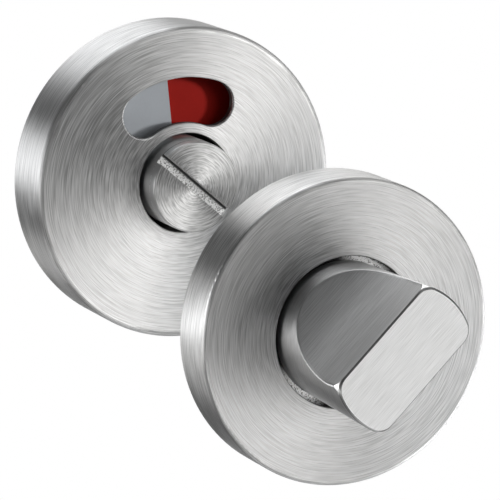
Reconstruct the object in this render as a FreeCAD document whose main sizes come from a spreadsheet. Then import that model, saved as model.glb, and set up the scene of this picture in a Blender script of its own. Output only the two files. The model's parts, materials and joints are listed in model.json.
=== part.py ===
import FreeCAD, Part
import math
import os
import Sketcher

# Bathroom turn and release set, in millimetres.
# Both halves face -Y, +Z is up, and the door's plane is XZ. The origin is the centre of the
# indicator half's back. Each piece is drawn with its own Z as height above its half's back.

SIZES = {
    # Round covers
    "rose_diameter": 52.0,
    "cover_wall": 1.5,
    "cover_side_wall": 2.4,
    "cover_skirt": 1.6,
    "cover_edge_break": 0.25,
    "indicator_height": 11.0,
    "indicator_edge_round": 1.0,
    "turn_height": 9.0,
    "turn_edge_round": 0.7,
    # Window in the indicator cover, a curved slot about the axis
    "window_land": 1.7,
    "window_width": 7.6,
    "window_half_span": 26.0,
    "window_angle": 90.0,
    # Base plates that the covers screw on
    "plate_floor": 3.0,
    "plate_rim_height": 5.0,
    "plate_rim_width": 1.2,
    "cover_fit": 0.1,
    "hub_wall": 1.2,
    "hub_height": 5.0,
    "hub_recess_diameter": 16.6,
    "bolt_hole_diameter": 4.5,
    "wood_screw_diameter": 4.2,
    "wood_screw_sink": 1.6,
    "wood_screw_clearance": 1.4,
    # Threaded pillars on the indicator's plate
    "pillar_diameter": 6.0,
    "pillar_reach": 6.0,
    "pillar_flange_diameter": 7.0,
    "pillar_flange": 1.2,
    "pillar_clearance": 0.6,
    "pillar_thread_diameter": 3.3,
    # Bearings
    "shank_diameter": 10.0,
    "shank_end": 0.3,
    "bush_wall": 1.5,
    "bush_flange_diameter": 16.0,
    "bush_flange": 0.75,
    "press_play": 0.02,
    "running_play": 0.05,
    # Retaining stack behind each bush
    "clip_groove_depth": 0.6,
    "clip_groove_shoulder": 0.6,
    "clip_thickness": 0.7,
    "clip_width": 2.2,
    "clip_play": 0.05,
    "clip_opening": 40.0,
    "washer_thickness": 0.5,
    "washer_clearance": 0.5,
    "washer_play": 0.1,
    "spring_sheet": 0.4,
    "spring_dish": 0.25,
    # Square spindle and its sockets
    "spindle_width": 5.0,
    "spindle_reach": 45.0,
    "spindle_end_break": 0.8,
    "spindle_play": 0.05,
    "turn_socket_depth": 14.0,
    "release_socket_depth": 10.0,
    "pin_diameter": 2.0,
    "pin_wall": 0.35,
    "pin_opening": 50.0,
    "pin_height": 4.0,
    "pin_end_play": 0.1,
    # Coin release
    "boss_diameter": 15.1,
    "boss_gap": 0.75,
    "boss_height": 4.1,
    "boss_edge_round": 0.35,
    "slot_width": 1.8,
    "slot_depth": 1.8,
    "slot_angle": 133.0,
    "key_diameter": 12.0,
    "key_flats": 10.4,
    # Indicator disc and its white flag
    "disc_thickness": 1.2,
    "disc_clearance": 1.0,
    "flag_thickness": 0.3,
    "flag_boss_clearance": 0.85,
    "flag_rim_margin": 0.6,
    "flag_start_angle": 90.0,
    "flag_end_angle": 200.0,
    "stop_inset": 2.3,
    "stop_angle": -40.0,
    "stop_diameter": 2.0,
    "stop_proud": 0.9,
    "stop_play": 0.3,
    "stop_half_span": 45.5,
    # Thumb turn
    "knob_diameter": 24.9,
    "knob_taper": 0.7,
    "knob_gap": 1.1,
    "knob_collar": 0.6,
    "knob_collar_lap": 1.15,
    "knob_height": 21.1,
    "knob_rim_height": 3.6,
    "blade_thickness": 12.5,
    "scoop_bow": 2.9,
    "blade_corner_round": 3.0,
    "blade_corner_depth": 3.0,
    "blade_corner_draft": 10.0,
    "blade_edge_break": 0.35,
    "scoop_edge_round": 0.25,
    "turn_rest_angle": 38.0,
    # Where the turn half stands beside the indicator half
    "turn_direction": -53.7,
    "spindle_clear_of_rose": 2.9,
    "turn_clear_of_face": 7.0,
}

doc = FreeCAD.newDocument("TurnAndRelease")
sheet = doc.addObject("Spreadsheet::Sheet", "Sizes")
for row, (alias, number) in enumerate(SIZES.items(), start=1):
    sheet.set(f"A{row}", alias)
    sheet.set(f"B{row}", str(number))
    sheet.setAlias(f"B{row}", alias)
doc.recompute()


class Size:
    """A length with its number and the expression that ties it to the sheet."""

    def __init__(self, number, text):
        self.number = number
        self.text = text

    def joined(self, sign, other, number):
        text = other.text if isinstance(other, Size) else str(other)
        return Size(number, f"({self.text} {sign} {text})")

    def __add__(self, other):
        return self.joined("+", other, self.number + number_of(other))

    def __sub__(self, other):
        return self.joined("-", other, self.number - number_of(other))

    def __mul__(self, factor):
        return self.joined("*", factor, self.number * number_of(factor))

    def __truediv__(self, divisor):
        return self.joined("/", divisor, self.number / number_of(divisor))

    def __neg__(self):
        return Size(-self.number, f"(0 - {self.text})")


def number_of(value):
    return value.number if isinstance(value, Size) else value


def size(alias):
    return Size(float(sheet.get(alias)), f"Sizes.{alias}")


ZERO = Size(0.0, "0")
FULL_TURN = Size(360.0, "360")
HALF_SQUARE = Size(45.0, "45")
SQUARE_CORNER = Size(math.sqrt(0.5), "sqrt(0.5)")
OVERCUT = Size(1.0, "1")
ORIGIN = FreeCAD.Vector(0, 0, 0)
UP = FreeCAD.Vector(0, 0, 1)

# Heights and radii that several pieces share
rose_radius = size("rose_diameter") / 2
shank_radius = size("shank_diameter") / 2
groove_radius = shank_radius - size("clip_groove_depth")
clip_low = size("shank_end") + size("clip_groove_shoulder")
clip_high = clip_low + size("clip_thickness")
washer_high = clip_high + size("washer_thickness")
spring_high = washer_high + size("spring_dish") + size("spring_sheet")
recess_depth = spring_high + size("running_play")
recess_radius = size("hub_recess_diameter") / 2
bush_top = size("hub_height") + size("bush_flange")
bush_bore = shank_radius + size("running_play")
bush_radius = bush_bore + size("bush_wall")
turning_low = bush_top + size("running_play")
disc_top = turning_low + size("disc_thickness")
cavity_radius = rose_radius - size("cover_side_wall")
disc_radius = cavity_radius - size("disc_clearance")
stop_radius = disc_radius - size("stop_inset")
boss_radius = size("boss_diameter") / 2
boss_hole_radius = boss_radius + size("boss_gap")
boss_top = size("indicator_height") + size("boss_height")
knob_radius = size("knob_diameter") / 2
knob_base_radius = knob_radius - size("knob_taper")
knob_hole_radius = knob_base_radius + size("knob_gap")
knob_top = size("turn_height") + size("knob_height")
collar_top = turning_low + size("knob_collar")
plate_radius = rose_radius - size("cover_skirt") - size("cover_fit")
rim_inner = plate_radius - size("plate_rim_width")
bolt_radius = rim_inner - size("pillar_flange_diameter") / 2 - size("pillar_clearance")
socket_half = size("spindle_width") / 2 + size("spindle_play")
spindle_corner = size("spindle_width") * SQUARE_CORNER
turn_distance = rose_radius + spindle_corner + size("spindle_clear_of_rose")

INDICATOR_PLACE = "placement(vector(0; 0; 0); rotation(vector(1; 0; 0); 90))"
TURN_PLACE = (
    f"placement(vector({turn_distance.text} * cos(Sizes.turn_direction);"
    " 0 - Sizes.indicator_height - Sizes.turn_clear_of_face;"
    f" {turn_distance.text} * sin(Sizes.turn_direction)); rotation(vector(1; 0; 0); 90))"
)
TURNED_PLACE = TURN_PLACE[:-1] + " * rotation(vector(0; 0; 1); Sizes.turn_rest_angle))"

nodes = []


def new_body(label, place):
    body = doc.addObject("PartDesign::Body", label)
    body.Label = label
    body.setExpression("Placement", place)
    nodes.append(body)
    return body


def new_sketch(body, name, role="XY_Plane", height=ZERO, spin=ZERO, shift=ZERO):
    """A sketch on one of the body's own planes.

    It is lifted along that plane's normal, spun about it, and shifted along the plane's second axis.
    """
    sketch = body.newObject("Sketcher::SketchObject", f"{body.Label}_{name}")
    plane = next(item for item in body.Origin.OriginFeatures if item.Role == role)
    sketch.AttachmentSupport = [(plane, "")]
    sketch.MapMode = "FlatFace"
    sketch.setExpression(
        "AttachmentOffset",
        f"placement(vector(0; {shift.text}; {height.text}); rotation(vector(0; 0; 1); {spin.text}))",
    )
    return sketch


def tie(sketch, kind, *where, to):
    """Add a dimension and bind it to the sheet."""
    value = math.radians(to.number) if kind == "Angle" else to.number
    index = sketch.addConstraint(Sketcher.Constraint(kind, *where, value))
    sketch.setExpression(f"Constraints[{index}]", to.text)


def tie_point(sketch, curve, end, x, y):
    """Hold a point at x, y, each a Size."""
    for kind, axis, value in (("DistanceX", -2, x), ("DistanceY", -1, y)):
        if value is ZERO:
            sketch.addConstraint(Sketcher.Constraint("PointOnObject", curve, end, axis))
        else:
            tie(sketch, kind, -1, 1, curve, end, to=value)


def outline(sketch, corners):
    """A closed polygon whose corners are pairs of Sizes."""
    points = [FreeCAD.Vector(x.number, y.number, 0) for x, y in corners]
    first = sketch.GeometryCount
    count = len(points)
    for i in range(count):
        sketch.addGeometry(Part.LineSegment(points[i], points[(i + 1) % count]), False)
    for i, (x, y) in enumerate(corners):
        after = first + (i - 1) % count
        sketch.addConstraint(Sketcher.Constraint("Coincident", after, 2, first + i, 1))
        tie_point(sketch, first + i, 1, x, y)


def circle(sketch, radius, x=ZERO, y=ZERO):
    middle = FreeCAD.Vector(x.number, y.number, 0)
    index = sketch.addGeometry(Part.Circle(middle, UP, radius.number), False)
    if x is ZERO and y is ZERO:
        sketch.addConstraint(Sketcher.Constraint("Coincident", index, 3, -1, 1))
    else:
        tie_point(sketch, index, 3, x, y)
    tie(sketch, "Radius", index, to=radius)


def arc(sketch, radius, start, end, middle=ORIGIN):
    """An arc by its radius and its start and end angles in degrees."""
    whole = Part.Circle(middle, UP, radius)
    curve = Part.ArcOfCircle(whole, math.radians(start), math.radians(end))
    return sketch.addGeometry(curve, False)


def polar(radius, degrees):
    angle = math.radians(degrees)
    return FreeCAD.Vector(radius * math.cos(angle), radius * math.sin(angle), 0)


def ring_sector(sketch, inner, outer, start, end):
    """A ring between two radii, from the start angle round to the end angle."""
    outer_arc = arc(sketch, outer.number, start.number, end.number)
    inner_arc = arc(sketch, inner.number, start.number, end.number)
    for curve, radius in ((outer_arc, outer), (inner_arc, inner)):
        sketch.addConstraint(Sketcher.Constraint("Coincident", curve, 3, -1, 1))
        tie(sketch, "Radius", curve, to=radius)
    for side, angle in ((1, start), (2, end)):
        near = polar(inner.number, angle.number)
        far = polar(outer.number, angle.number)
        line = sketch.addGeometry(Part.LineSegment(near, far), False)
        sketch.addConstraint(Sketcher.Constraint("Coincident", line, 1, inner_arc, side))
        sketch.addConstraint(Sketcher.Constraint("Coincident", line, 2, outer_arc, side))
        sketch.addConstraint(Sketcher.Constraint("PointOnObject", -1, 1, line))
        tie(sketch, "Angle", line, to=angle)


def curved_slot(sketch, mid_radius, half_width, middle, half_span):
    """A slot that runs round the axis, with round ends."""
    inner = mid_radius.number - half_width.number
    outer = mid_radius.number + half_width.number
    low = middle - half_span
    high = middle + half_span
    outer_arc = arc(sketch, outer, low.number, high.number)
    inner_arc = arc(sketch, inner, low.number, high.number)
    caps = []
    for angle, start in ((low, low.number + 180), (high, high.number)):
        centre = polar(mid_radius.number, angle.number)
        cap = arc(sketch, half_width.number, start, start + 180, centre)
        spoke = sketch.addGeometry(Part.LineSegment(ORIGIN, centre), True)
        sketch.addConstraint(Sketcher.Constraint("Coincident", spoke, 1, -1, 1))
        sketch.addConstraint(Sketcher.Constraint("Coincident", spoke, 2, cap, 3))
        tie(sketch, "Angle", spoke, to=angle)
        caps.append((cap, spoke))
    (low_cap, low_spoke), (high_cap, _) = caps
    for curve in (outer_arc, inner_arc):
        sketch.addConstraint(Sketcher.Constraint("Coincident", curve, 3, -1, 1))
    sketch.addConstraint(Sketcher.Constraint("Tangent", outer_arc, 2, high_cap, 1))
    sketch.addConstraint(Sketcher.Constraint("Tangent", high_cap, 2, inner_arc, 2))
    sketch.addConstraint(Sketcher.Constraint("Tangent", inner_arc, 1, low_cap, 1))
    sketch.addConstraint(Sketcher.Constraint("Tangent", low_cap, 2, outer_arc, 1))
    tie(sketch, "Radius", low_cap, to=half_width)
    tie(sketch, "Distance", low_spoke, to=mid_radius)


def blade_outline(sketch, radius, half_width, corner):
    """A circle between two parallel flanks, with round corners."""
    across = half_width.number - corner.number
    along = math.sqrt((radius.number - corner.number) ** 2 - across ** 2)
    swing = math.degrees(math.atan2(across, along))
    half = half_width.number
    right = arc(sketch, radius.number, -swing, swing)
    right_top = arc(sketch, corner.number, swing, 90, FreeCAD.Vector(along, across, 0))
    top = sketch.addGeometry(Part.LineSegment(
        FreeCAD.Vector(along, half, 0), FreeCAD.Vector(-along, half, 0)), False)
    left_top = arc(sketch, corner.number, 90, 180 - swing, FreeCAD.Vector(-along, across, 0))
    left = arc(sketch, radius.number, 180 - swing, 180 + swing)
    left_low = arc(sketch, corner.number, 180 + swing, 270, FreeCAD.Vector(-along, -across, 0))
    low = sketch.addGeometry(Part.LineSegment(
        FreeCAD.Vector(-along, -half, 0), FreeCAD.Vector(along, -half, 0)), False)
    right_low = arc(sketch, corner.number, 270, 360 - swing, FreeCAD.Vector(along, -across, 0))
    loop = (right, right_top, top, left_top, left, left_low, low, right_low)
    for curve, after in zip(loop, loop[1:] + loop[:1]):
        sketch.addConstraint(Sketcher.Constraint("Tangent", curve, 2, after, 1))
    for curve in (right, left):
        sketch.addConstraint(Sketcher.Constraint("Coincident", curve, 3, -1, 1))
        tie(sketch, "Radius", curve, to=radius)
    for curve in (right_top, left_top, left_low, right_low):
        tie(sketch, "Radius", curve, to=corner)
    for line, height in ((top, half_width), (low, -half_width)):
        sketch.addConstraint(Sketcher.Constraint("Horizontal", line))
        tie(sketch, "DistanceY", -1, 1, line, 1, to=height)


def revolve(body, name, corners):
    """Turn a half section, given as radius and height, about the body's axis."""
    sketch = new_sketch(body, f"{name}_section", "XZ_Plane")
    outline(sketch, corners)
    feature = body.newObject("PartDesign::Revolution", f"{body.Label}_{name}")
    feature.Profile = sketch
    feature.ReferenceAxis = (sketch, ["V_Axis"])
    feature.Angle = 360
    doc.recompute()
    return feature


def pad(body, name, sketch, length):
    feature = body.newObject("PartDesign::Pad", f"{body.Label}_{name}")
    feature.Profile = sketch
    feature.Length = length.number
    feature.setExpression("Length", length.text)
    doc.recompute()
    return feature


def pocket(body, name, sketch, length=None, upward=False, draft=None):
    """Cut a sketch down into the body, or right through it both ways if no length is given.

    With a draft, in degrees, the cut narrows as it goes down.
    """
    before = body.Shape.Volume
    feature = body.newObject("PartDesign::Pocket", f"{body.Label}_{name}")
    feature.Profile = sketch
    feature.Reversed = upward
    if length is None:
        feature.Type = "ThroughAll"
        feature.SideType = "Symmetric"
    else:
        feature.Length = length.number
        feature.setExpression("Length", length.text)
    if draft is not None:
        feature.TaperAngle = draft.number
        feature.setExpression("TaperAngle", draft.text)
    doc.recompute()
    if body.Shape.Volume > before - 1e-6:
        raise RuntimeError(f"{feature.Name} removed nothing")
    return feature


def dress(body, kind, name, wanted, amount):
    """Fillet or chamfer the edges of the body's tip that wanted accepts, in the body's own frame."""
    edges = [
        f"Edge{i}"
        for i, edge in enumerate(body.Tip.Shape.Edges, start=1)
        if wanted(edge)
    ]
    if not edges:
        raise RuntimeError(f"{body.Label} has no edge for {name}")
    base = body.Tip
    feature = body.newObject(f"PartDesign::{kind}", f"{body.Label}_{name}")
    feature.Base = (base, edges)
    prop = "Radius" if kind == "Fillet" else "Size"
    setattr(feature, prop, amount.number)
    feature.setExpression(prop, amount.text)
    doc.recompute()
    return feature


def ring_at(height, *radii):
    """True for a circular edge about the body's axis at this height and one of these radii."""

    def wanted(edge):
        curve = edge.Curve
        if not isinstance(curve, Part.Circle):
            return False
        on_axis = math.hypot(curve.Center.x, curve.Center.y) < 1e-4
        level = abs(curve.Center.z - height.number) < 1e-4
        return on_axis and level and any(abs(curve.Radius - r.number) < 1e-4 for r in radii)

    return wanted


def make_cover(label, place, height, edge_round, hole_radius):
    """A cap turned from bar, with a threaded skirt that seats on the plate's rim at its shoulder."""
    body = new_body(label, place)
    skirt_radius = rose_radius - size("cover_skirt")
    ceiling = height - size("cover_wall")
    seat = size("plate_rim_height")
    revolve(body, "cap", [
        (skirt_radius, ZERO),
        (rose_radius, ZERO),
        (rose_radius, height),
        (hole_radius, height),
        (hole_radius, ceiling),
        (cavity_radius, ceiling),
        (cavity_radius, seat),
        (skirt_radius, seat),
    ])
    dress(body, "Fillet", "front_edge", ring_at(height, rose_radius), edge_round)
    dress(body, "Fillet", "hole_edge", ring_at(height, hole_radius), size("cover_edge_break"))
    return body


def make_indicator_cover():
    height = size("indicator_height")
    body = make_cover(
        "indicator_cover", INDICATOR_PLACE, height,
        size("indicator_edge_round"), boss_hole_radius,
    )
    sketch = new_sketch(body, "window_outline", height=height)
    half_width = size("window_width") / 2
    curved_slot(
        sketch, boss_hole_radius + size("window_land") + half_width, half_width,
        size("window_angle"), size("window_half_span"),
    )
    pocket(body, "window", sketch, size("cover_wall"))

    def window_edge(edge):
        level = all(abs(v.Point.z - height.number) < 1e-4 for v in edge.Vertexes)
        reach = edge.CenterOfMass
        inside = math.hypot(reach.x, reach.y) > boss_hole_radius.number
        return level and len(edge.Vertexes) == 2 and inside

    dress(body, "Fillet", "window_edge", window_edge, size("cover_edge_break"))


def make_turn_cover():
    make_cover(
        "turn_cover", TURN_PLACE, size("turn_height"),
        size("turn_edge_round"), knob_hole_radius,
    )


def make_plate(label, place, fixing_diameter):
    """A dished plate with a threaded rim, a bearing hub and its fixing holes."""
    body = new_body(label, place)
    hub_radius = recess_radius + size("hub_wall")
    bore = bush_radius + size("press_play")
    revolve(body, "dish", [
        (recess_radius, ZERO),
        (plate_radius, ZERO),
        (plate_radius, size("plate_rim_height")),
        (rim_inner, size("plate_rim_height")),
        (rim_inner, size("plate_floor")),
        (hub_radius, size("plate_floor")),
        (hub_radius, size("hub_height")),
        (bore, size("hub_height")),
        (bore, recess_depth),
        (recess_radius, recess_depth),
    ])
    sketch = new_sketch(body, "fixing_circles")
    for x in (bolt_radius, -bolt_radius):
        circle(sketch, fixing_diameter / 2, x)
    pocket(body, "fixing_holes", sketch)
    sketch = new_sketch(body, "wood_screw_circles")
    screw_radius = size("wood_screw_diameter") / 2
    sink_radius = screw_radius + size("wood_screw_sink")
    screw_place = rim_inner - sink_radius - size("wood_screw_clearance")
    for y in (screw_place, -screw_place):
        circle(sketch, screw_radius, ZERO, y)
    pocket(body, "wood_screw_holes", sketch)

    def sink_edge(edge):
        curve = edge.Curve
        return (
            isinstance(curve, Part.Circle)
            and abs(curve.Radius - screw_radius.number) < 1e-4
            and abs(curve.Center.z - size("plate_floor").number) < 1e-4
            and abs(abs(curve.Center.y) - screw_place.number) < 1e-4
        )

    dress(body, "Chamfer", "wood_screw_sinks", sink_edge, size("wood_screw_sink"))
    return body


def make_indicator_plate():
    pillar_hole = size("pillar_diameter") + size("press_play") * 2
    body = make_plate("indicator_base_plate", INDICATOR_PLACE, pillar_hole)
    sketch = new_sketch(body, "stop_circle", spin=size("stop_angle"))
    circle(sketch, size("stop_diameter") / 2 + size("press_play"), stop_radius)
    pocket(body, "stop_hole", sketch)


def make_turn_plate():
    make_plate("turn_base_plate", TURN_PLACE, size("bolt_hole_diameter"))


def make_pillars():
    """Two headed pillars, tapped for the bolts that clamp the halves through the door."""
    body = new_body("fixing_pillars", INDICATOR_PLACE)
    levels = (
        ("shafts", -size("pillar_reach"), size("pillar_diameter"),
         size("pillar_reach") + size("plate_floor")),
        ("heads", size("plate_floor"), size("pillar_flange_diameter"), size("pillar_flange")),
    )
    for name, low, diameter, length in levels:
        sketch = new_sketch(body, f"{name}_circles", height=low)
        for x in (bolt_radius, -bolt_radius):
            circle(sketch, diameter / 2, x)
        pad(body, name, sketch, length)
    sketch = new_sketch(body, "thread_circles")
    for x in (bolt_radius, -bolt_radius):
        circle(sketch, size("pillar_thread_diameter") / 2, x)
    pocket(body, "threads", sketch)


def make_bush(label, place):
    """A flanged nylon bush, pressed into the hub from the front."""
    body = new_body(label, place)
    revolve(body, "sleeve", [
        (bush_bore, recess_depth),
        (bush_radius, recess_depth),
        (bush_radius, size("hub_height")),
        (size("bush_flange_diameter") / 2, size("hub_height")),
        (size("bush_flange_diameter") / 2, bush_top),
        (bush_bore, bush_top),
    ])


def make_retainers(prefix, place):
    """The conical spring washer, flat washer and split clip that hold a shank in its bush."""
    washer_bore = shank_radius + size("washer_play")
    washer_radius = recess_radius - size("washer_clearance")
    spring = new_body(f"{prefix}_spring_washer", place)
    revolve(spring, "cone", [
        (washer_bore, spring_high - size("spring_sheet")),
        (washer_radius, washer_high),
        (washer_radius, washer_high + size("spring_sheet")),
        (washer_bore, spring_high),
    ])
    washer = new_body(f"{prefix}_washer", place)
    sketch = new_sketch(washer, "circles", height=clip_high)
    circle(sketch, washer_bore)
    circle(sketch, washer_radius)
    pad(washer, "disc", sketch, size("washer_thickness"))
    clip = new_body(f"{prefix}_clip", place)
    sketch = new_sketch(clip, "opening", height=clip_low)
    inner = groove_radius + size("press_play")
    half_opening = size("clip_opening") / 2
    ring_sector(
        sketch, inner, inner + size("clip_width"),
        half_opening, FULL_TURN - half_opening,
    )
    pad(clip, "ring", sketch, size("clip_thickness"))


def shank_section():
    """The shank's half section from its axis at the back end up to the bush, with its clip groove."""
    groove_high = clip_high + size("clip_play")
    return [
        (ZERO, size("shank_end")),
        (shank_radius, size("shank_end")),
        (shank_radius, clip_low),
        (groove_radius, clip_low),
        (groove_radius, groove_high),
        (shank_radius, groove_high),
        (shank_radius, turning_low),
    ]


def cut_socket(body, depth, spin):
    """A square socket for the spindle, in from the back end of the shank."""
    sketch = new_sketch(body, "socket_outline", height=size("shank_end"), spin=spin)
    outline(sketch, [
        (-socket_half, -socket_half),
        (socket_half, -socket_half),
        (socket_half, socket_half),
        (-socket_half, socket_half),
    ])
    pocket(body, "socket", sketch, depth, upward=True)


def make_release_boss():
    """The coin-slotted boss, keyed to the indicator disc under its head."""
    body = new_body("release_boss", INDICATOR_PLACE)
    key_radius = size("key_diameter") / 2
    revolve(body, "turned", shank_section() + [
        (key_radius, turning_low),
        (key_radius, disc_top),
        (boss_radius, disc_top),
        (boss_radius, boss_top),
        (ZERO, boss_top),
    ])
    flat = size("key_flats") / 2
    sketch = new_sketch(body, "flats_outline", height=turning_low)
    for near, far in ((flat, key_radius + OVERCUT), (-flat, -key_radius - OVERCUT)):
        outline(sketch, [
            (-key_radius, near),
            (key_radius, near),
            (key_radius, far),
            (-key_radius, far),
        ])
    pocket(body, "flats", sketch, disc_top - turning_low, upward=True)
    cut_socket(body, size("release_socket_depth"), ZERO)
    dress(body, "Fillet", "top_edge", ring_at(boss_top, boss_radius), size("boss_edge_round"))
    half_slot = size("slot_width") / 2
    reach = boss_radius + OVERCUT
    sketch = new_sketch(body, "slot_outline", height=boss_top, spin=size("slot_angle"))
    outline(sketch, [
        (-reach, -half_slot),
        (reach, -half_slot),
        (reach, half_slot),
        (-reach, half_slot),
    ])
    pocket(body, "slot", sketch, size("slot_depth"))


def make_disc():
    """The red disc, keyed to the boss, with the curved slot that its stop pin runs in."""
    body = new_body("indicator_disc", INDICATOR_PLACE)
    sketch = new_sketch(body, "rim_circle", height=turning_low)
    circle(sketch, disc_radius)
    pad(body, "blank", sketch, size("disc_thickness"))
    key_radius = size("key_diameter") / 2 + size("running_play")
    flat = size("key_flats") / 2 + size("running_play")
    half_chord = math.sqrt(key_radius.number ** 2 - flat.number ** 2)
    turn = math.degrees(math.atan2(flat.number, half_chord))
    sketch = new_sketch(body, "key_outline", height=disc_top)
    right = arc(sketch, key_radius.number, -turn, turn)
    left = arc(sketch, key_radius.number, 180 - turn, 180 + turn)
    top = sketch.addGeometry(Part.LineSegment(
        FreeCAD.Vector(half_chord, flat.number, 0), FreeCAD.Vector(-half_chord, flat.number, 0)), False)
    low = sketch.addGeometry(Part.LineSegment(
        FreeCAD.Vector(-half_chord, -flat.number, 0), FreeCAD.Vector(half_chord, -flat.number, 0)), False)
    for curve in (right, left):
        sketch.addConstraint(Sketcher.Constraint("Coincident", curve, 3, -1, 1))
        tie(sketch, "Radius", curve, to=key_radius)
    for curve, after in ((right, top), (top, left), (left, low), (low, right)):
        sketch.addConstraint(Sketcher.Constraint("Coincident", curve, 2, after, 1))
    for line, height in ((top, flat), (low, -flat)):
        sketch.addConstraint(Sketcher.Constraint("Horizontal", line))
        tie(sketch, "DistanceY", -1, 1, line, 1, to=height)
    pocket(body, "key", sketch, size("disc_thickness"))
    sketch = new_sketch(body, "stop_outline", height=disc_top)
    curved_slot(
        sketch, stop_radius, size("stop_diameter") / 2 + size("stop_play"),
        size("stop_angle"), size("stop_half_span"),
    )
    pocket(body, "stop_slot", sketch, size("disc_thickness"))


def make_flag():
    """The white sector on the disc that shows when the door isn't locked."""
    body = new_body("vacant_flag", INDICATOR_PLACE)
    sketch = new_sketch(body, "sector", height=disc_top)
    ring_sector(
        sketch, boss_radius + size("flag_boss_clearance"), disc_radius - size("flag_rim_margin"),
        size("flag_start_angle"), size("flag_end_angle"),
    )
    pad(body, "sheet", sketch, size("flag_thickness"))


def make_stop_pin():
    body = new_body("stop_pin", INDICATOR_PLACE)
    sketch = new_sketch(body, "circle", spin=size("stop_angle"))
    circle(sketch, size("stop_diameter") / 2, stop_radius)
    pad(body, "pin", sketch, disc_top + size("stop_proud"))


def make_thumb_turn():
    """The knob: a bar that widens upward, with a hollow scooped from each side to leave a broad blade.

    A collar under the cover keeps it from being pulled out.
    """
    body = new_body("thumb_turn", TURNED_PLACE)
    collar_radius = knob_hole_radius + size("knob_collar_lap")
    revolve(body, "turned", shank_section() + [
        (collar_radius, turning_low),
        (collar_radius, collar_top),
        (knob_base_radius, collar_top),
        (knob_radius, knob_top),
        (ZERO, knob_top),
    ])
    half_blade = size("blade_thickness") / 2
    rim = size("turn_height") + size("knob_rim_height")
    widening = size("knob_taper") / (knob_top - collar_top)
    rim_radius = knob_base_radius + widening * (rim - collar_top)
    rise = knob_top.number - rim.number
    spread = rim_radius.number - half_blade.number
    chord = math.hypot(rise, spread)
    bow = size("scoop_bow")
    beyond = knob_radius + OVERCUT
    above = knob_top + OVERCUT
    sketch = new_sketch(body, "scoop_outline", "YZ_Plane")
    for side in (1, -1):
        top = FreeCAD.Vector(side * half_blade.number, knob_top.number, 0)
        low = FreeCAD.Vector(side * rim_radius.number, rim.number, 0)
        inward = FreeCAD.Vector(-side * rise, -spread, 0) * (bow.number / chord)
        middle = (top + low) * 0.5 + inward
        out_low = FreeCAD.Vector(side * beyond.number, rim.number, 0)
        out_high = FreeCAD.Vector(side * beyond.number, above.number, 0)
        in_high = FreeCAD.Vector(side * half_blade.number, above.number, 0)
        curve = sketch.addGeometry(Part.Arc(top, middle, low), False)
        ends = sketch.getPoint(curve, 1)
        start, finish = (1, 2) if (ends - top).Length < 1e-6 else (2, 1)
        lines = [
            sketch.addGeometry(Part.LineSegment(a, b), False)
            for a, b in ((low, out_low), (out_low, out_high), (out_high, in_high), (in_high, top))
        ]
        sketch.addConstraint(Sketcher.Constraint("Coincident", curve, finish, lines[0], 1))
        for a, b in zip(lines, lines[1:]):
            sketch.addConstraint(Sketcher.Constraint("Coincident", a, 2, b, 1))
        sketch.addConstraint(Sketcher.Constraint("Coincident", lines[3], 2, curve, start))
        reach = half_blade if side > 0 else -half_blade
        rim_reach = rim_radius if side > 0 else -rim_radius
        far = beyond if side > 0 else -beyond
        tie_point(sketch, curve, start, reach, knob_top)
        tie_point(sketch, curve, finish, rim_reach, rim)
        tie_point(sketch, lines[1], 1, far, rim)
        tie_point(sketch, lines[2], 1, far, above)
        tie_point(sketch, lines[3], 1, reach, above)
        rise_text = f"({knob_top.text} - {rim.text})"
        spread_text = f"({rim_radius.text} - {half_blade.text})"
        chord_square = f"({rise_text}^2 + {spread_text}^2)"
        radius_text = f"({chord_square} / (8 * {bow.text}) + {bow.text} / 2)"
        radius = Size(chord ** 2 / (8 * bow.number) + bow.number / 2, radius_text)
        tie(sketch, "Radius", curve, to=radius)
    pocket(body, "scoops", sketch)
    edge_break = size("blade_edge_break")
    cuts = (
        ("blade_corners", ZERO, size("blade_corner_depth"), size("blade_corner_draft")),
        ("blade_edge", edge_break, edge_break, HALF_SQUARE),
    )
    for name, inset, depth, draft in cuts:
        sketch = new_sketch(body, f"{name}_outline", height=knob_top)
        circle(sketch, beyond + depth)
        corner = size("blade_corner_round") - inset
        blade_outline(sketch, knob_radius - inset, half_blade - inset, corner)
        pocket(body, name, sketch, depth, draft=draft)

    def off_side(point):
        """How far a point is from the bar's sloping side."""
        side_radius = knob_base_radius.number + widening.number * (point.z - collar_top.number)
        return abs(math.hypot(point.x, point.y) - side_radius)

    def scoop_edge(edge):
        """True for an edge that climbs the bar's side from the scoop's rim to the top."""
        box = edge.BoundBox
        climbs = box.ZMax - box.ZMin > rise / 4
        on_side = all(off_side(v.Point) < 1e-3 for v in edge.Vertexes)
        return climbs and on_side and box.ZMin > rim.number - 1e-3

    dress(body, "Fillet", "scoop_edges", scoop_edge, size("scoop_edge_round"))
    cut_socket(body, size("turn_socket_depth"), HALF_SQUARE)
    cut_pin_hole(body)


def cut_pin_hole(body):
    sketch = new_sketch(body, "pin_circle", "XZ_Plane")
    circle(sketch, size("pin_diameter") / 2 + size("press_play"), ZERO, size("pin_height"))
    pocket(body, "pin_hole", sketch)


def make_spindle():
    """The square bar that turns the lock's follower, pinned in the knob's shank."""
    body = new_body("spindle", TURNED_PLACE)
    half = size("spindle_width") / 2
    top = size("shank_end") + size("turn_socket_depth") - size("spindle_play")
    low = -size("spindle_reach")
    sketch = new_sketch(body, "square", height=low, spin=HALF_SQUARE)
    outline(sketch, [(-half, -half), (half, -half), (half, half), (-half, half)])
    pad(body, "bar", sketch, top - low)

    def end_edge(edge):
        return all(abs(v.Point.z - low.number) < 1e-4 for v in edge.Vertexes)

    dress(body, "Chamfer", "end", end_edge, size("spindle_end_break"))
    cut_pin_hole(body)


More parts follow.
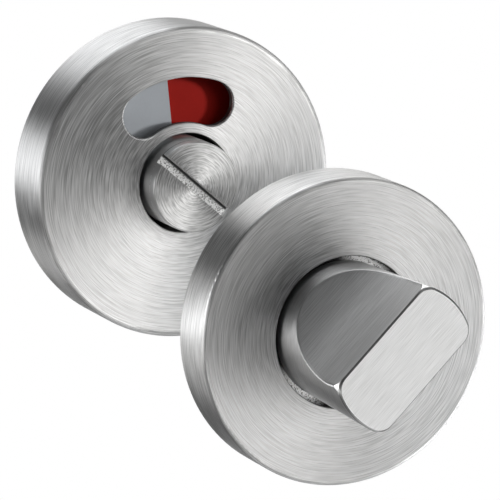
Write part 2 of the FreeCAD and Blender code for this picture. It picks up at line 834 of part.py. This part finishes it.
def make_spindle_pin():
    """A slotted spring pin across the shank, trapped by the bush."""
    body = new_body("spindle_pin", TURNED_PLACE)
    length = (shank_radius - size("pin_end_play")) * 2
    sketch = new_sketch(body, "section", "XZ_Plane", height=-length / 2, shift=size("pin_height"))
    outer = size("pin_diameter") / 2
    opening = size("pin_opening") / 2
    ring_sector(sketch, outer - size("pin_wall"), outer, opening, FULL_TURN - opening)
    pad(body, "tube", sketch, length)


make_indicator_cover()
make_indicator_plate()
make_pillars()
make_bush("release_bush", INDICATOR_PLACE)
make_retainers("release", INDICATOR_PLACE)
make_release_boss()
make_disc()
make_flag()
make_stop_pin()
make_turn_cover()
make_turn_plate()
make_bush("turn_bush", TURN_PLACE)
make_retainers("turn", TURNED_PLACE)
make_thumb_turn()
make_spindle()
make_spindle_pin()

doc.recompute()
for item in doc.Objects:
    if "Invalid" in item.State or "Error" in item.State:
        raise RuntimeError(f"{item.Name} failed: {item.State}")
os.makedirs("parts", exist_ok=True)
for body in nodes:
    if body.Shape.isNull() or not body.Shape.isValid():
        raise RuntimeError(f"{body.Label} has no valid shape")
    body.Shape.exportStep(f"parts/{body.Label}.step")
    print(body.Label, len(body.Shape.Solids), round(body.Shape.Volume, 1))
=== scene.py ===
"""Looks of the bathroom turn and release set: brushed steel, plastics, studio light and camera."""
import json
import math
from collections import namedtuple

import bpy
from mathutils import Matrix, Vector

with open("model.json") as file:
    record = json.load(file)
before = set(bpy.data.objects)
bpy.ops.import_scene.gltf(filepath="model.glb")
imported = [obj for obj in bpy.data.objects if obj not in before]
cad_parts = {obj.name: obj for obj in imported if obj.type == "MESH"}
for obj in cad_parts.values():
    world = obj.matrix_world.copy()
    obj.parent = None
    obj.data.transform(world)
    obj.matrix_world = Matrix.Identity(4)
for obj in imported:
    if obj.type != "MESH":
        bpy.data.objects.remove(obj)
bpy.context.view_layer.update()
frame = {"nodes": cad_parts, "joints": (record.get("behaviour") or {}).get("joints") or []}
nodes = frame["nodes"]
joints = {joint["name"]: joint for joint in frame["joints"]}
MM_PER_M = 1000.0

# Places of the two halves, in millimetres: each axis runs along Y through its half's back
INDICATOR_AXIS = Vector(joints["release_turn"]["pos_m"]) * MM_PER_M
TURN_AXIS = Vector(joints["thumb_turn_swing"]["pos_m"]) * MM_PER_M
# Slants of the blade, which is level at the low end of its swing, and of the coin slot
BLADE_ANGLE = math.radians(-joints["thumb_turn_swing"]["range_deg"][0])
SLOT_ANGLE = math.radians(133.0)

# Sizes that the looks follow, in millimetres, with heights above each half's back
INDICATOR_EDGE = 1.1
TURN_EDGE = 0.8
SLOT_DEPTH = 1.8
# Radius within which the red disc is painted black as shade under the gap round the boss
SHADED_HUB_RADIUS = 9.3
COLLAR_TOP = 6.6
KNOB_FOOT = 6.4
KNOB_FOOT_RADIUS = 11.75
KNOB_FLARE = 0.7
# Painted glints on the knob's collar, whose black is painted shade, as directions in degrees
GLINT_PATCHES = (225.0, 60.0)

# Highlights of brushed steel spread across the brushing, a quarter turn from its tangent
ACROSS_BRUSHING = 0.25
GRAIN_ROUGHNESS = 0.55
# Depths of the grain, in metres
BRUSHED_DEPTH = 0.00003
TURNED_DEPTH = 0.00004
MOULDED_DEPTH = 0.00002
ROLLED_DEPTH = 0.00002

INDICATOR_HALF = (
    "indicator_cover", "indicator_base_plate", "fixing_pillars", "release_bush", "stop_pin",
    "release_boss", "indicator_disc", "vacant_flag",
    "release_washer", "release_spring_washer", "release_clip",
)
WINDOW = ("indicator_disc", "vacant_flag")

# Sun lamps of each lit group: direction from the object, width in degrees, strength
LAMP_TINT = (1.0, 0.995, 0.98)
LAMPS = {
    "indicator_steel": [
        ((0.63, -0.77, 0.05), 32.0, 0.72),
        ((0.06, -0.87, -0.48), 28.0, 0.52),
        ((0.40, -0.88, 0.22), 28.0, 0.24),
        ((-0.66, 0.45, -0.60), 26.0, 0.30),
        ((-0.98, -0.15, -0.08), 26.0, 0.22),
    ],
    "window": [
        ((0.63, -0.77, 0.05), 8.0, 1.05),
        ((0.40, -0.88, 0.22), 28.0, 0.34),
    ],
    "turn_half": [
        ((0.63, -0.77, 0.05), 30.0, 0.42),
        ((0.06, -0.87, -0.48), 28.0, 0.25),
        ((0.50, -0.76, -0.42), 34.0, 0.45),
        ((-0.89, 0.45, -0.08), 66.0, 0.78),
        ((-0.98, -0.15, -0.08), 26.0, 0.34),
        ((0.59, 0.45, 0.67), 30.0, 0.55),
        ((0.01, 0.72, 0.69), 32.0, 0.58),
    ],
}
# Soft panels of the studio: direction from the object, way of the long side, half angles, strength
PANELS = [
    ((0.80, -0.30, -0.52), (0.7, -0.08, 0.76), 33.5, 14.0, 5.5),
    ((-0.86, 0.50, 0.115), (0.0, 1.0, 0.0), 62.0, 16.0, 2.2),
    ((0.02, 0.50, 0.86), (0.0, 1.0, 0.0), 62.0, 31.0, 2.1),
]
PANEL_CORE = 0.6
ROOM = 0.10
ROOM_TINT = (0.98, 0.99, 1.0)
BACKDROP = Vector((0.38, 0.89, 0.25)).normalized()

# Floor, in metres
FLOOR_RADIUS = 0.35
FLOOR_DEPTH = 0.8

# The photo's camera: angles given in degrees, distance and shift in millimetres, picture in pixels
AZIMUTH = math.radians(-23.5)
ELEVATION = math.radians(14.35)
ROLL = math.radians(-5.45)
CAMERA_DISTANCE = 610.0
SHIFT_RIGHT = 15.12
SHIFT_UP = -13.12
PIXELS_PER_MM = 5.972
PICTURE_WIDTH = 500.0
SENSOR_WIDTH = 36.0

RoundPlace = namedtuple("RoundPlace", "local radius height around")
TurnedSizes = namedtuple("TurnedSizes", "hole radius top")


class Graph:
    """Adds nodes to a shader tree and links them."""

    def __init__(self, tree):
        self.tree = tree
        tree.nodes.clear()

    def put(self, socket, value):
        if isinstance(value, bpy.types.NodeSocket):
            self.tree.links.new(value, socket)
        else:
            socket.default_value = value

    def node(self, kind, inputs=None, **settings):
        made = self.tree.nodes.new("ShaderNode" + kind)
        for name, value in settings.items():
            setattr(made, name, value)
        for name, value in (inputs or {}).items():
            self.put(made.inputs[name], value)
        return made

    def math(self, operation, a, b=0.0, c=0.0):
        return self.node("Math", {0: a, 1: b, 2: c}, operation=operation).outputs[0]

    def vector(self, operation, a, b=(0.0, 0.0, 0.0), c=(0.0, 0.0, 0.0)):
        made = self.node("VectorMath", {0: a, 1: b, 2: c}, operation=operation)
        return made.outputs["Value" if operation in ("LENGTH", "DOT_PRODUCT") else "Vector"]

    def split(self, vector):
        return self.node("SeparateXYZ", {0: vector}).outputs

    def join(self, x, y, z):
        return self.node("CombineXYZ", {0: x, 1: y, 2: z}).outputs[0]

    def noise(self, vector, scale=1.0, detail=2.0, roughness=0.5):
        inputs = {"Vector": vector, "Scale": scale, "Detail": detail, "Roughness": roughness}
        return self.node("TexNoise", inputs).outputs[0]

    def ramp(self, value, low, high, out_low=0.0, out_high=1.0, smooth=False):
        made = self.node(
            "MapRange",
            {"Value": value, "From Min": low, "From Max": high, "To Min": out_low, "To Max": out_high},
            interpolation_type="SMOOTHSTEP" if smooth else "LINEAR",
        )
        return made.outputs[0]

    def mix(self, factor, a, b):
        return self.node("Mix", {0: factor, 2: a, 3: b}, data_type="FLOAT").outputs[0]

    def mix_vector(self, factor, a, b):
        return self.node("Mix", {0: factor, 4: a, 5: b}, data_type="VECTOR").outputs[1]

    def mix_colour(self, factor, a, b):
        return self.node("Mix", {0: factor, 6: a, 7: b}, data_type="RGBA").outputs[2]

    def bump(self, height, distance, strength):
        inputs = {"Height": height, "Distance": distance, "Strength": strength}
        return self.node("Bump", inputs).outputs[0]

    def surface(self, inputs):
        shader = self.node("BsdfPrincipled", inputs)
        self.node("OutputMaterial", {"Surface": shader.outputs[0]})


def new_material(name):
    material = bpy.data.materials.new(name)
    material.use_nodes = True
    return material, Graph(material.node_tree)


def paint(material, *names):
    for name in names:
        nodes[name].data.materials[0] = material


def grey(value):
    return (value, value, value, 1.0)


def turned_sizes(name, axis):
    """A node's least and greatest radius about its axis and its top, in millimetres, from its mesh."""
    places = [vertex.co * MM_PER_M - axis for vertex in nodes[name].data.vertices]
    radii = [math.hypot(place.x, place.z) for place in places]
    top = max(-place.y for place in places)
    return TurnedSizes(round(min(radii), 3), round(max(radii), 3), round(top, 3))


def round_place(graph, axis):
    """Place about an axis along Y, in millimetres: radius, height above the half's back, direction."""
    place = graph.node("TexCoord").outputs["Object"]
    local = graph.vector("MULTIPLY_ADD", place, (MM_PER_M, MM_PER_M, MM_PER_M), -axis)
    flat = graph.vector("MULTIPLY", local, (1.0, 0.0, 1.0))
    radius = graph.vector("LENGTH", flat)
    around = graph.split(graph.vector("NORMALIZE", flat))
    height = graph.math("MULTIPLY", graph.split(local)[1], -1.0)
    return RoundPlace(local, radius, height, around)


def turned_grain(graph, spot, across, along, detail=2.0, drift=0.0):
    """Streaks that run round the axis: so many per millimetre across and so many per radian along."""
    reach = graph.math("SUBTRACT", spot.radius, spot.height)
    if drift:
        slow_reach = graph.math("MULTIPLY", reach, 0.12)
        slow_place = graph.join(spot.around[0], spot.around[2], slow_reach)
        slow = graph.noise(slow_place, scale=2.3, detail=1.0)
        reach = graph.math("MULTIPLY_ADD", slow, drift, reach)
    place = graph.join(
        graph.math("MULTIPLY", spot.around[0], along),
        graph.math("MULTIPLY", reach, across),
        graph.math("MULTIPLY", spot.around[2], along),
    )
    return graph.noise(place, detail=detail, roughness=GRAIN_ROUGHNESS)


def round_tangent(graph):
    return graph.node("Tangent", direction_type="RADIAL", axis="Y").outputs[0]


def cover_steel(name, cover, axis, edge_round):
    """Satin steel of a cover: brushed round in short and long arcs, with painted shade on the walls of its
    hole and window.
    """
    material, graph = new_material(name)
    spot = round_place(graph, axis)
    sizes = turned_sizes(cover, axis)
    edge_radius = sizes.radius - edge_round
    edge_height = sizes.top - edge_round
    short = turned_grain(graph, spot, across=6.2, along=6.5, detail=0.0, drift=0.06)
    long = turned_grain(graph, spot, across=5.6, along=2.2, detail=0.0, drift=0.1)
    broad = turned_grain(graph, spot, across=0.8, along=1.2, drift=0.6)
    grain = graph.mix(0.48, short, long)
    tone = graph.mix(0.06, grain, broad)
    colour = graph.mix_colour(graph.ramp(tone, 0.34, 0.66), grey(0.43), grey(0.81))
    # Painted shade: the hole's wall and the inner edge of its rounding are painted nearly black
    hole = graph.ramp(spot.radius, sizes.hole + 0.1, sizes.hole + 0.02, smooth=True)
    colour = graph.mix_colour(hole, colour, grey(0.04))
    # Painted shade: the walls of the window and hole below the face are darkened
    wall_shade = graph.math(
        "MULTIPLY",
        graph.ramp(spot.height, edge_height + 0.75, edge_height + 0.6, smooth=True),
        graph.ramp(spot.radius, edge_radius - 1.0, edge_radius - 1.5),
    )
    colour = graph.mix_colour(wall_shade, colour, grey(0.12))
    edge = graph.math(
        "MULTIPLY",
        graph.ramp(spot.radius, edge_radius, edge_radius + 0.3, smooth=True),
        graph.ramp(spot.height, edge_height, edge_height + 0.3, smooth=True),
    )
    satin = graph.ramp(grain, 0.36, 0.64, out_low=0.40, out_high=0.54)
    graph.surface({
        "Base Color": colour,
        "Metallic": 1.0,
        "Roughness": graph.mix(edge, satin, 0.42),
        "Anisotropic": 0.9,
        "Anisotropic Rotation": ACROSS_BRUSHING,
        "Tangent": round_tangent(graph),
        "Normal": graph.bump(grain, BRUSHED_DEPTH, 0.3),
    })
    return material


def collar_glints(graph, local, speckle):
    """Painted glints on the collar, whose black is painted shade: speckled patches in a few directions."""
    glint = 0.0
    for degrees in GLINT_PATCHES:
        towards = math.radians(degrees)
        patch = Vector((math.cos(towards), 0.0, math.sin(towards)))
        near = graph.vector("DOT_PRODUCT", graph.vector("NORMALIZE", local), patch)
        glint = graph.math("MAXIMUM", graph.ramp(near, 0.78, 0.88, smooth=True), glint)
    return graph.math("MULTIPLY", glint, graph.ramp(speckle, 0.38, 0.47))


def knob_steel():
    """Satin steel of the thumb turn: round on its side, straight along the blade; its collar painted black
    as shade with painted glints, painted shade on its top's rounded edge, a painted highlight just inside
    its side.
    """
    material, graph = new_material("knob_brushed_steel")
    spot = round_place(graph, TURN_AXIS)
    top = turned_sizes("thumb_turn", TURN_AXIS).top
    slope = KNOB_FLARE / (top - KNOB_FOOT)
    along_blade = Vector((math.cos(BLADE_ANGLE), 0.0, math.sin(BLADE_ANGLE)))
    across_blade = Vector((-math.sin(BLADE_ANGLE), 0.0, math.cos(BLADE_ANGLE)))
    along = graph.vector("DOT_PRODUCT", spot.local, along_blade)
    across = graph.vector("DOT_PRODUCT", spot.local, across_blade)

    def straight_grain(rate, stretch, detail):
        place = graph.join(
            graph.math("MULTIPLY", along, stretch),
            graph.math("MULTIPLY", across, rate),
            graph.math("MULTIPLY", spot.height, rate),
        )
        return graph.noise(place, detail=detail, roughness=GRAIN_ROUGHNESS)

    side_radius = graph.math("MULTIPLY_ADD", spot.height, slope, KNOB_FOOT_RADIUS - KNOB_FOOT * slope)
    beside = graph.math("SUBTRACT", spot.radius, side_radius)
    side = graph.ramp(beside, -0.16, -0.06, smooth=True)
    # Band just inside the side surface: a painted highlight in colour, and smoother
    rim_highlight = graph.math(
        "MULTIPLY",
        graph.ramp(beside, -0.5, -0.25, smooth=True),
        graph.math("SUBTRACT", 1.0, side),
    )
    collar = graph.ramp(spot.height, COLLAR_TOP + 0.3, COLLAR_TOP, smooth=True)
    facing = graph.split(graph.node("NewGeometry").outputs["Normal"])[1]
    # Rounded edge of the top, turned away from the front: painted shade
    edge_shade = graph.math(
        "MULTIPLY",
        graph.ramp(spot.height, top - 0.4, top - 0.25, smooth=True),
        graph.ramp(facing, -0.97, -0.8, smooth=True),
    )
    fine = graph.mix(
        side,
        straight_grain(rate=9.5, stretch=0.2, detail=1.0),
        turned_grain(graph, spot, across=6.0, along=4.0),
    )
    strokes = graph.mix(
        side,
        straight_grain(rate=4.0, stretch=0.08, detail=2.0),
        turned_grain(graph, spot, across=2.6, along=1.6),
    )
    speckle = graph.noise(spot.local, scale=3.2, detail=3.0, roughness=0.7)
    grain = graph.mix(collar, graph.mix(0.08, fine, strokes), speckle)
    colour = graph.mix_colour(graph.ramp(grain, 0.34, 0.66), grey(0.53), grey(0.72))
    colour = graph.mix_colour(edge_shade, colour, grey(0.24))
    glint = collar_glints(graph, spot.local, speckle)
    # The collar in the gap is painted black as shade, with painted glints in two patches
    colour = graph.mix_colour(collar, colour, graph.mix_colour(glint, grey(0.012), grey(1.0)))
    # Painted highlight: the band just inside the side is lightened
    colour = graph.mix_colour(graph.math("MULTIPLY", rim_highlight, 0.8), colour, grey(0.82))
    satin = graph.ramp(grain, 0.3, 0.7, out_low=0.40, out_high=0.52)
    blade_tangent = graph.node(
        "VectorTransform",
        {0: along_blade},
        vector_type="VECTOR", convert_from="OBJECT", convert_to="WORLD",
    ).outputs[0]
    graph.surface({
        "Base Color": colour,
        "Metallic": graph.mix(collar, 1.0, 0.6),
        "Roughness": graph.mix(collar, graph.mix(rim_highlight, satin, 0.3), 0.4),
        "Anisotropic": graph.mix(collar, graph.mix(side, 0.6, 0.9), 0.0),
        "Anisotropic Rotation": ACROSS_BRUSHING,
        "Tangent": graph.mix_vector(side, blade_tangent, round_tangent(graph)),
        "Normal": graph.bump(grain, BRUSHED_DEPTH, graph.mix(collar, 0.22, 0.9)),
    })
    return material


def boss_steel():
    """Satin steel of the coin release: turned face, smoother side, a sawn slot speckled with painted
    glints and with a painted shadow along its upper wall.
    """
    material, graph = new_material("boss_turned_steel")
    spot = round_place(graph, INDICATOR_AXIS)
    sizes = turned_sizes("release_boss", INDICATOR_AXIS)
    slot_floor = sizes.top - SLOT_DEPTH
    fine = turned_grain(graph, spot, across=6.6, along=3.0, detail=1.5)
    strokes = turned_grain(graph, spot, across=2.6, along=1.8)
    reach = graph.math("SUBTRACT", spot.radius, spot.height)
    ridges = graph.math("SINE", graph.math("MULTIPLY", reach, 13.5))
    speckle = graph.noise(spot.local, scale=3.4, detail=2.0, roughness=0.6)
    slot = graph.math(
        "MULTIPLY",
        graph.ramp(spot.height, slot_floor + 0.12, slot_floor + 0.06, smooth=True),
        graph.ramp(spot.height, slot_floor - 0.1, slot_floor - 0.04, smooth=True),
    )
    side = graph.ramp(spot.radius, sizes.radius - 0.15, sizes.radius - 0.05, smooth=True)
    up_slot = Vector((math.sin(SLOT_ANGLE), 0.0, -math.cos(SLOT_ANGLE)))
    # Painted shadow: the slot's floor is darkened along its upper wall
    corner_shadow = graph.ramp(graph.vector("DOT_PRODUCT", spot.local, up_slot), 0.35, 0.6, smooth=True)
    grain = graph.math("MULTIPLY_ADD", ridges, 0.045, graph.mix(0.2, fine, strokes))
    grain = graph.mix(slot, grain, speckle)
    face = graph.mix_colour(graph.ramp(grain, 0.36, 0.64), grey(0.32), grey(0.74))
    colour = graph.mix_colour(side, face, grey(0.70))
    # Speckled dark to near white: partly the rough sawn floor, partly painted glints
    sawn_glints = graph.mix_colour(graph.ramp(speckle, 0.36, 0.52), grey(0.25), grey(0.95))
    sawn_glints = graph.mix_colour(corner_shadow, sawn_glints, grey(0.03))
    satin = graph.mix(side, graph.ramp(grain, 0.25, 0.75, out_low=0.40, out_high=0.54), 0.38)
    graph.surface({
        "Base Color": graph.mix_colour(slot, colour, sawn_glints),
        "Metallic": graph.mix(slot, 1.0, 0.35),
        "Roughness": graph.mix(slot, satin, 0.36),
        "Anisotropic": graph.mix(slot, 0.88, 0.0),
        "Anisotropic Rotation": ACROSS_BRUSHING,
        "Tangent": round_tangent(graph),
        "Normal": graph.bump(grain, TURNED_DEPTH, graph.mix(slot, 0.22, 1.0)),
    })
    return material


def plated_steel(name, tint, rough):
    """Plated or spring steel with fine rolled lines and a faint mottle."""
    material, graph = new_material(name)
    place = graph.node("TexCoord").outputs["Object"]
    mottle = graph.noise(place, scale=420.0, detail=4.0, roughness=0.6)
    lines = graph.noise(graph.vector("MULTIPLY", place, (400.0, 5200.0, 5200.0)))
    grain = graph.mix(0.5, mottle, lines)
    dark = tuple(0.78 * part for part in tint) + (1.0,)
    light = tuple(1.12 * part for part in tint) + (1.0,)
    graph.surface({
        "Base Color": graph.mix_colour(graph.ramp(mottle, 0.3, 0.7), dark, light),
        "Metallic": 1.0,
        "Roughness": graph.ramp(grain, 0.3, 0.7, rough - 0.07, rough + 0.1),
        "Anisotropic": 0.2,
        "Normal": graph.bump(grain, ROLLED_DEPTH, 0.25),
    })
    return material


def plastic(name, dark, light, rough, shine=0.5, shaded_hub=0.0):
    """Plastic with a fine moulded grain and slightly uneven colour, painted black as shade inside the
    given hub radius.
    """
    material, graph = new_material(name)
    place = graph.node("TexCoord").outputs["Object"]
    cloud = graph.noise(place, scale=180.0, detail=3.0, roughness=0.55)
    grain = graph.noise(place, scale=2600.0, detail=2.0, roughness=0.6)
    tone = graph.mix(0.3, cloud, grain)
    colour = graph.mix_colour(graph.ramp(tone, 0.3, 0.7), dark + (1.0,), light + (1.0,))
    # Painted shade: black inside the hub, where the disc lies under the gap round the boss
    if shaded_hub:
        radius = round_place(graph, INDICATOR_AXIS).radius
        colour = graph.mix_colour(graph.ramp(radius, shaded_hub, shaded_hub + 0.1), grey(0.012), colour)
    graph.surface({
        "Base Color": colour,
        "Roughness": graph.ramp(grain, 0.3, 0.7, rough - 0.06, rough + 0.08),
        "Specular IOR Level": shine,
        "Normal": graph.bump(grain, MOULDED_DEPTH, 0.18),
    })
    return material


def paint_nodes():
    """Gives every node its material."""
    paint(
        cover_steel("indicator_brushed_steel", "indicator_cover", INDICATOR_AXIS, INDICATOR_EDGE),
        "indicator_cover",
    )
    paint(
        cover_steel("turn_brushed_steel", "turn_cover", TURN_AXIS, TURN_EDGE),
        "turn_cover",
    )
    paint(knob_steel(), "thumb_turn")
    paint(boss_steel(), "release_boss")
    paint(
        plated_steel("zinc_plate", (0.58, 0.60, 0.62), rough=0.36),
        "indicator_base_plate", "turn_base_plate", "fixing_pillars", "spindle",
    )
    paint(
        plated_steel("spring_plate", (0.33, 0.33, 0.34), rough=0.32),
        "stop_pin", "spindle_pin", "release_washer", "release_spring_washer", "release_clip",
        "turn_washer", "turn_spring_washer", "turn_clip",
    )
    paint(
        plastic("natural_nylon", (0.74, 0.73, 0.68), (0.84, 0.83, 0.79), rough=0.5),
        "release_bush", "turn_bush",
    )
    paint(
        plastic(
            "red_enamel", (0.43, 0.010, 0.005), (0.51, 0.014, 0.008),
            rough=0.45, shine=0.1, shaded_hub=SHADED_HUB_RADIUS,
        ),
        "indicator_disc",
    )
    # The white flag's colour is greyed and cooled as painted shade of the window's recess
    paint(
        plastic("shaded_white_enamel", (0.55, 0.585, 0.63), (0.62, 0.66, 0.71), rough=0.45, shine=0.4),
        "vacant_flag",
    )


def gather(name, members):
    """A collection of nodes for the lamps to light or to be shaded by."""
    group = bpy.data.collections.new(name)
    for member in members:
        group.objects.link(nodes[member])
    return group


def place_lamps():
    """Soft sun lamps that light each half by itself, as if the halves were photographed one by one."""
    indicator = gather("indicator_half", INDICATOR_HALF)
    steel = gather("indicator_steel", [name for name in INDICATOR_HALF if name not in WINDOW])
    turn = gather("turn_half", [name for name in nodes if name not in INDICATOR_HALF])
    lit_and_shading = {
        "indicator_steel": (steel, indicator),
        "window": (gather("window", WINDOW), indicator),
        "turn_half": (turn, turn),
    }
    for group, (lit, shading) in lit_and_shading.items():
        for count, (towards, width, strength) in enumerate(LAMPS[group]):
            name = f"{group}_key_{count}"
            data = bpy.data.lights.new(name, "SUN")
            data.angle = math.radians(width)
            data.energy = strength
            data.color = LAMP_TINT
            lamp = bpy.data.objects.new(name, data)
            lamp.rotation_mode = "QUATERNION"
            lamp.rotation_quaternion = Vector(towards).to_track_quat("Z", "Y")
            lamp.light_linking.receiver_collection = lit
            lamp.light_linking.blocker_collection = shading
            bpy.context.scene.collection.objects.link(lamp)


def panel_glow(graph, direction, towards, long_side, half_long, half_short, strength):
    """Light of one soft oval panel, seen along a direction."""
    towards = Vector(towards).normalized()
    across = towards.cross(Vector(long_side)).normalized()
    along = across.cross(towards)

    def share(side, half_angle):
        return graph.math(
            "DIVIDE", graph.vector("DOT_PRODUCT", direction, side), math.sin(math.radians(half_angle)),
        )

    reach = graph.join(share(along, half_long), share(across, half_short), 0.0)
    glow = graph.ramp(graph.vector("LENGTH", reach), 1.0, PANEL_CORE, 0.0, strength, smooth=True)
    ahead = graph.math("GREATER_THAN", graph.vector("DOT_PRODUCT", direction, towards), 0.0)
    return graph.math("MULTIPLY", glow, ahead)


def light_world():
    """Soft panels in a dim room, before a white backdrop that metal shows too."""
    world = bpy.data.worlds.new("studio")
    bpy.context.scene.world = world
    world.use_nodes = True
    graph = Graph(world.node_tree)
    direction = graph.vector("NORMALIZE", graph.node("TexCoord").outputs["Generated"])
    total = ROOM
    for panel in PANELS:
        total = graph.math("ADD", panel_glow(graph, direction, *panel), total)
    light = graph.vector("MULTIPLY", graph.join(total, total, total), ROOM_TINT)
    path = graph.node("LightPath").outputs
    behind = graph.ramp(graph.vector("DOT_PRODUCT", direction, BACKDROP), 0.88, 0.96, smooth=True)
    mirrored = graph.math("MAXIMUM", path["Is Glossy Ray"], path["Is Transmission Ray"])
    white = graph.math("MAXIMUM", path["Is Camera Ray"], graph.math("MULTIPLY", mirrored, behind))
    colour = graph.mix_colour(white, light, grey(1.0))
    back = graph.node("Background", {"Color": colour, "Strength": 1.0})
    graph.node("OutputWorld", {"Surface": back.outputs[0]})


def lay_floor():
    """A pale round floor well below the set."""
    bpy.ops.mesh.primitive_circle_add(
        vertices=96, radius=FLOOR_RADIUS, fill_type="NGON", location=(0.0, 0.0, -FLOOR_DEPTH),
    )
    floor = bpy.context.object
    floor.name = "floor"
    material, graph = new_material("pale_floor")
    place = graph.node("TexCoord").outputs["Object"]
    tone = graph.ramp(graph.noise(place, scale=30.0, detail=3.0), 0.3, 0.7)
    diffuse = graph.node("BsdfDiffuse", {"Color": graph.mix_colour(tone, grey(0.86), grey(0.88))})
    white = graph.node("Emission", {"Color": grey(1.0), "Strength": 1.0})
    path = graph.node("LightPath").outputs
    seen = graph.math("MAXIMUM", path["Is Camera Ray"], path["Is Transmission Ray"])
    shader = graph.node(
        "MixShader",
        {0: graph.math("MULTIPLY", seen, 0.9), 1: diffuse.outputs[0], 2: white.outputs[0]},
    )
    graph.node("OutputMaterial", {"Surface": shader.outputs[0]})
    floor.data.materials.append(material)


def place_camera():
    """The photo's camera: turned to the left, above, rolled a little, with a long lens."""
    back = Vector((
        math.sin(AZIMUTH) * math.cos(ELEVATION),
        -math.cos(AZIMUTH) * math.cos(ELEVATION),
        math.sin(ELEVATION),
    ))
    level = Vector((math.cos(AZIMUTH), math.sin(AZIMUTH), 0.0))
    rise = back.cross(level)
    right = level * math.cos(ROLL) + rise * math.sin(ROLL)
    up = rise * math.cos(ROLL) - level * math.sin(ROLL)
    eye = (back * CAMERA_DISTANCE + right * SHIFT_RIGHT + up * SHIFT_UP) / MM_PER_M
    data = bpy.data.cameras.new("photo_camera")
    data.sensor_width = SENSOR_WIDTH
    data.lens = PIXELS_PER_MM * CAMERA_DISTANCE * SENSOR_WIDTH / PICTURE_WIDTH
    data.clip_start = 0.01
    data.clip_end = 20.0
    camera = bpy.data.objects.new("photo_camera", data)
    camera.matrix_world = Matrix((
        (right.x, up.x, back.x, eye.x),
        (right.y, up.y, back.y, eye.y),
        (right.z, up.z, back.z, eye.z),
        (0.0, 0.0, 0.0, 1.0),
    ))
    bpy.context.scene.collection.objects.link(camera)
    bpy.context.scene.camera = camera


paint_nodes()
place_lamps()
light_world()
lay_floor()
place_camera()
bpy.context.scene.view_settings.view_transform = "Standard"
